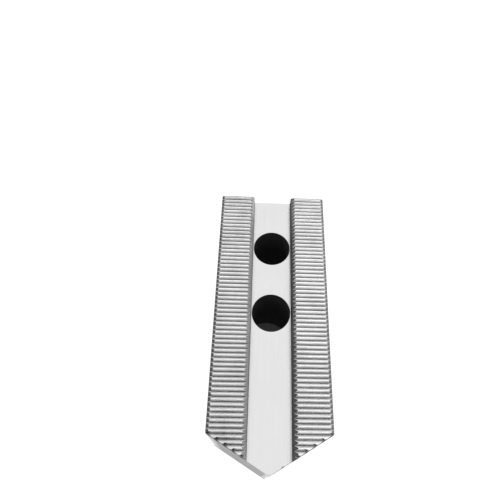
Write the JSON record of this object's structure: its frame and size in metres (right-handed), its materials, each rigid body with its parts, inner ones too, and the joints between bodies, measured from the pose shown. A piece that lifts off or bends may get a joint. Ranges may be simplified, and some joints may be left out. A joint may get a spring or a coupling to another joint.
{
  "type": "pointed chuck jaw",
  "caption": "Block-shaped steel top jaw with a pointed nose, serrated mounting face, lengthwise keyway and counterbored bolt holes.",
  "frame": {"origin": "middle of the footprint on the flat working face", "axes": "+Z towards the serrated mounting face, +Y towards the square rear end, the point at -Y, X across the width"},
  "size_m": [0.039, 0.0952, 0.05],
  "materials": {
    "steel": "fine ground steel with milled serrations"
  },
  "bodies": {
    "root": {"chuck_jaw": "steel"}
  },
  "joints": []
}
